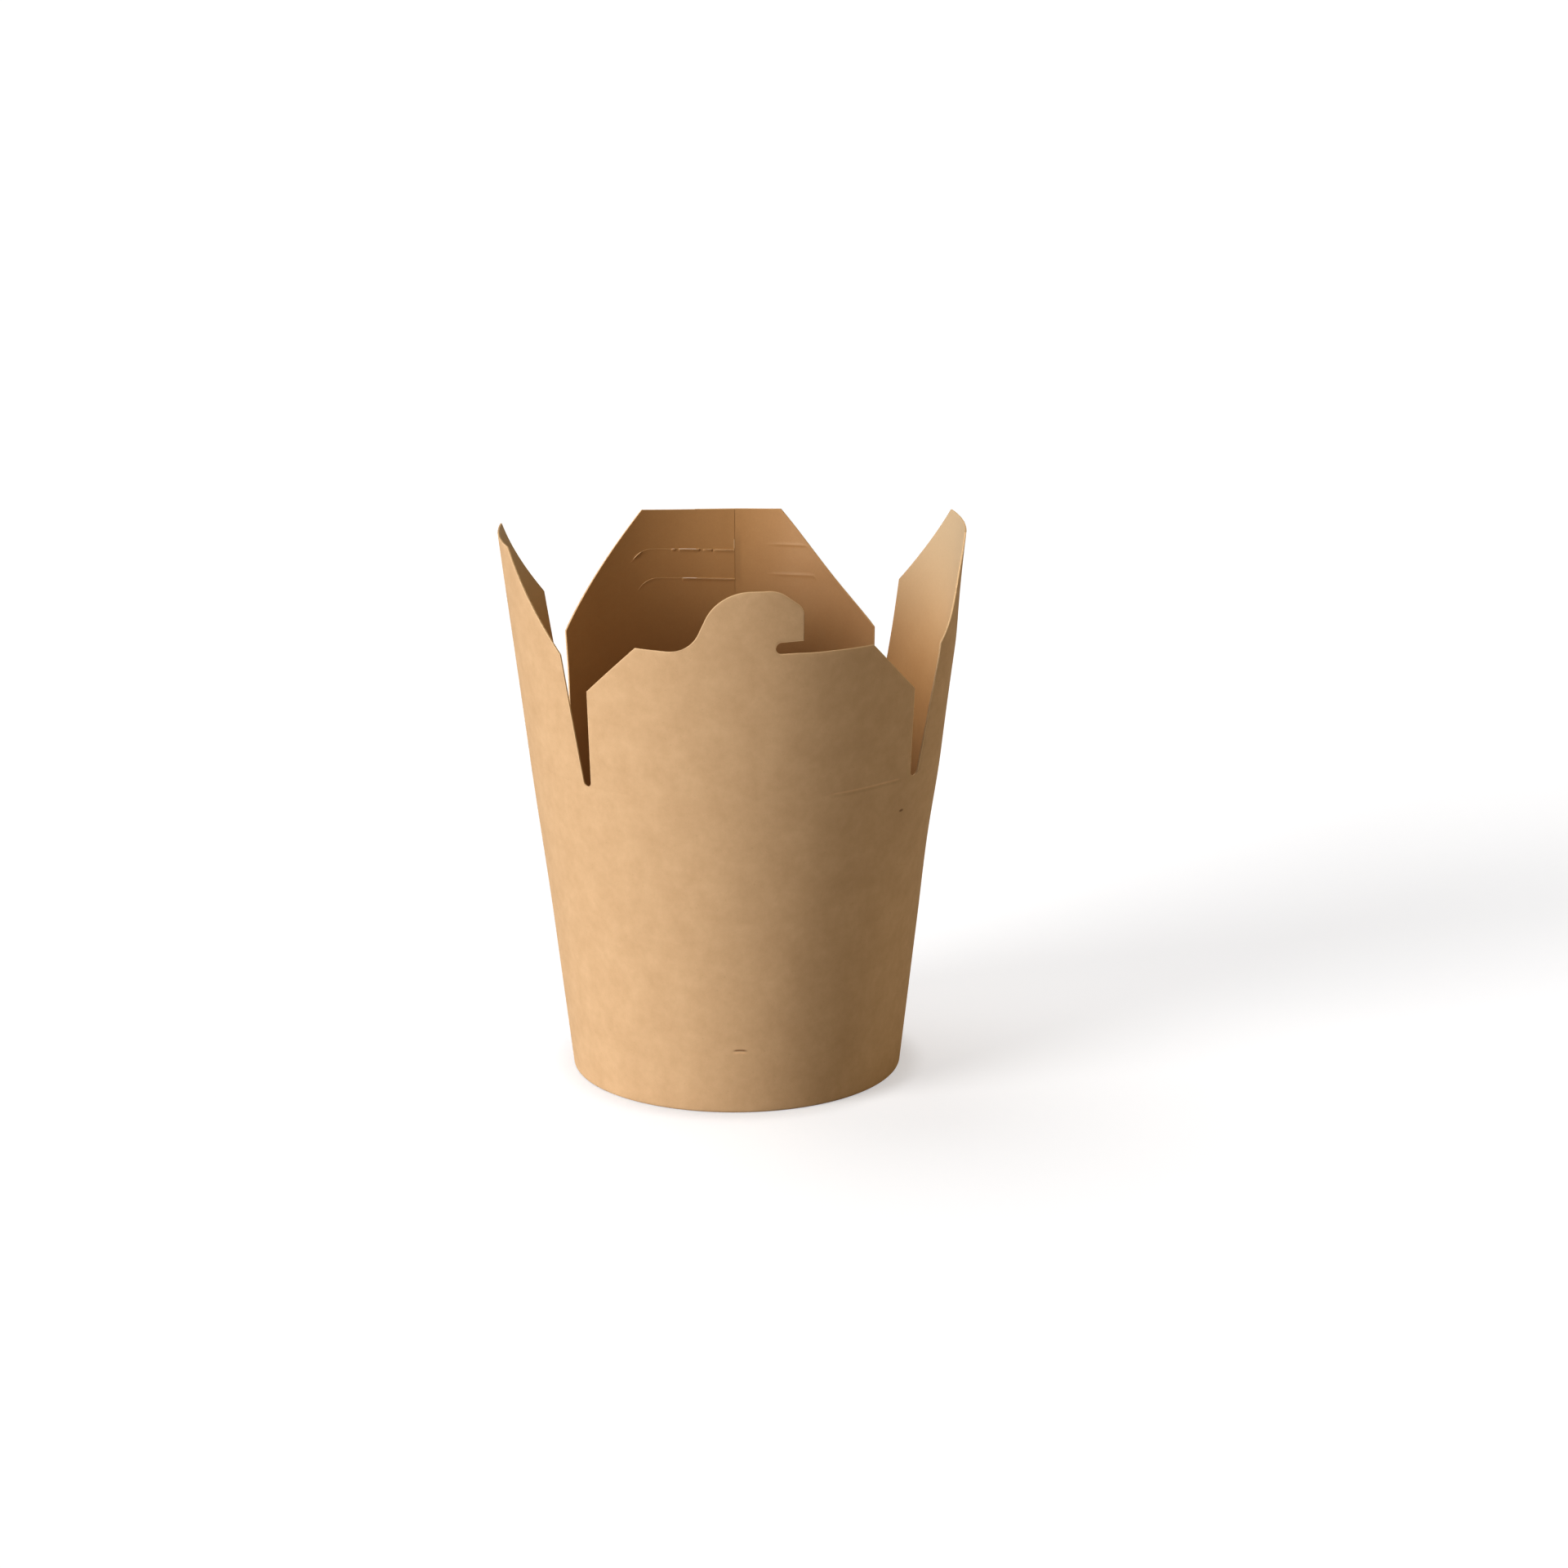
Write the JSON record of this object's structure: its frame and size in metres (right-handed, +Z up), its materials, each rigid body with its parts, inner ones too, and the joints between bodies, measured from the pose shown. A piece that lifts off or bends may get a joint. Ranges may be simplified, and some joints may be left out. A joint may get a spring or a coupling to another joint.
{
  "type": "round noodle takeaway box",
  "caption": "Open, empty kraft paperboard food cup with a tapered round wall, a raised bottom and fold-in lid flaps, one with a hooked tab and one slit to take it.",
  "frame": {"origin": "middle of the base, on the surface that the box stands on", "axes": "+Z up along the cup's axis, -Y out of the front, where the flap with the hooked tab is, +X to the right of the box as seen from the front"},
  "size_m": [0.1284, 0.1271, 0.1547],
  "materials": {
    "kraft_board": "matte unbleached kraft paperboard",
    "kraft_board_inside": "kraft paperboard with a thin greaseproof coating, satin"
  },
  "bodies": {
    "cup": {"wall": "kraft_board", "bottom": "kraft_board_inside"},
    "front_flap": {"front_flap": "kraft_board"},
    "back_flap": {"back_flap": "kraft_board"},
    "left_flap": {"left_flap": "kraft_board"},
    "right_flap": {"right_flap": "kraft_board"}
  },
  "joints": [
    {"name": "front_flap_fold", "type": "hinge", "parent": "cup", "child": "front_flap", "pos_m": [0, -0.036, 0.0928], "axis": [-1, 0, 0], "range_deg": [0, 30], "stiffness_Nm_per_rad": 0.004},
    {"name": "back_flap_fold", "type": "hinge", "parent": "cup", "child": "back_flap", "pos_m": [0, 0.036, 0.0928], "axis": [1, 0, 0], "range_deg": [0, 30], "stiffness_Nm_per_rad": 0.004},
    {"name": "left_flap_fold", "type": "hinge", "parent": "cup", "child": "left_flap", "pos_m": [-0.0436, 0, 0.0928], "axis": [0, 1, 0], "range_deg": [0, 55], "stiffness_Nm_per_rad": 0.004},
    {"name": "right_flap_fold", "type": "hinge", "parent": "cup", "child": "right_flap", "pos_m": [0.0436, 0, 0.0928], "axis": [0, -1, 0], "range_deg": [0, 55], "stiffness_Nm_per_rad": 0.004}
  ]
}
